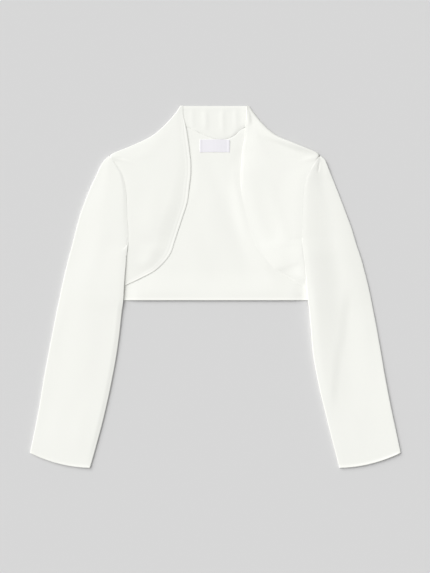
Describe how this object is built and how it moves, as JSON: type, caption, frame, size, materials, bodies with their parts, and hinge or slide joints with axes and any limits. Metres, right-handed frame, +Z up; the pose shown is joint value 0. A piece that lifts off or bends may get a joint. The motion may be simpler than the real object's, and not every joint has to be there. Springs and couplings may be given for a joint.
{
  "type": "bolero jacket laid flat",
  "caption": "Cropped open-front bolero jacket with a stand collar and long sleeves, laid out flat on its back, sleeves down at the sides.",
  "frame": {"origin": "on the ground under the middle of the bounding box, which lies under the back panel 25 mm above its hem", "axes": "+Z up from the ground the jacket lies on, +Y towards the collar, +X towards the wearer's left sleeve"},
  "size_m": [0.7238, 0.7063, 0.0084],
  "materials": {
    "crepe": "matte ivory crepe with a fine pebbled weave",
    "label_weave": "smooth white woven ribbon with a slight sheen"
  },
  "bodies": {
    "root": {"back": "crepe", "back_collar": "crepe", "front_right": "crepe", "front_left": "crepe", "sleeve_right": "crepe", "sleeve_left": "crepe", "neck_label": "label_weave"}
  },
  "joints": []
}
